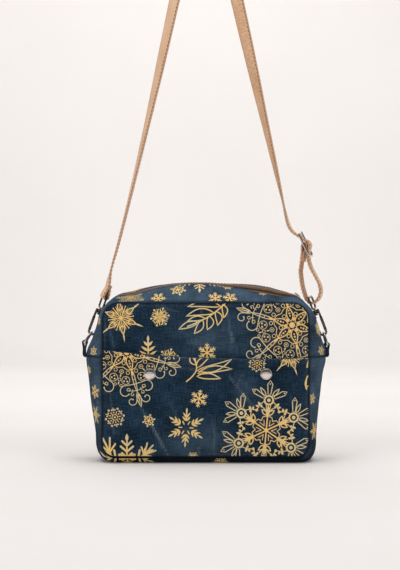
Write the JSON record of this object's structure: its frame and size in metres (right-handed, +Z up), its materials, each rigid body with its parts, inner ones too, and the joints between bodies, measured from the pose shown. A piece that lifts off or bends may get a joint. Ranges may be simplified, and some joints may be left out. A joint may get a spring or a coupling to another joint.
{
  "type": "shoulder bag",
  "caption": "Boxy zipped canvas shoulder bag with a snapped front pocket, hung by a long leather strap that is buckled and clipped to side rings by sprung snap hooks.",
  "frame": {"origin": "underside of the strap's crown, on top of the rail that the bag hangs from", "axes": "+X to the right seen from the front, -Y out of the front pocket, +Z up"},
  "size_m": [0.2659, 0.0914, 0.6421],
  "materials": {
    "canvas": "dark blue cotton canvas with a gold print, matte",
    "zip_tape": "brown woven tape",
    "zip_teeth": "brown nylon coil, slider painted to match",
    "nickel": "polished nickel plate",
    "leather": "tan vegetable leather, stitched edges, satin"
  },
  "bodies": {
    "bag": {"front_panel": "canvas", "front_pocket": "canvas", "back_panel": "canvas", "base_gusset": "canvas", "zip_strip_front": "canvas", "zip_strip_back": "canvas", "side_tab_left": "canvas", "side_tab_right": "canvas", "zipper_tape": "zip_tape", "zipper_teeth": "zip_teeth", "zip_slider": "zip_teeth", "pocket_snap_left": "nickel", "pocket_snap_right": "nickel", "d_ring_left": "nickel", "d_ring_right": "nickel", "hook_left": "nickel", "hook_right": "nickel", "hook_eye_left": "nickel", "hook_eye_right": "nickel", "strap_buckle": "nickel", "buckle_prong": "nickel", "shoulder_strap": "leather"},
    "lever_left": {"hook_lever_left": "nickel"},
    "lever_right": {"hook_lever_right": "nickel"}
  },
  "joints": [
    {"name": "lever_left_open", "type": "hinge", "parent": "bag", "child": "lever_left", "pos_m": [-0.11349, 0, -0.48721], "axis": [0, 1, 0], "range_deg": [0, 18], "stiffness_Nm_per_rad": 0.004, "springref_deg": -11.46},
    {"name": "lever_right_open", "type": "hinge", "parent": "bag", "child": "lever_right", "pos_m": [0.11799, 0, -0.48801], "axis": [0, -1, 0], "range_deg": [0, 18], "stiffness_Nm_per_rad": 0.004, "springref_deg": -11.46}
  ]
}
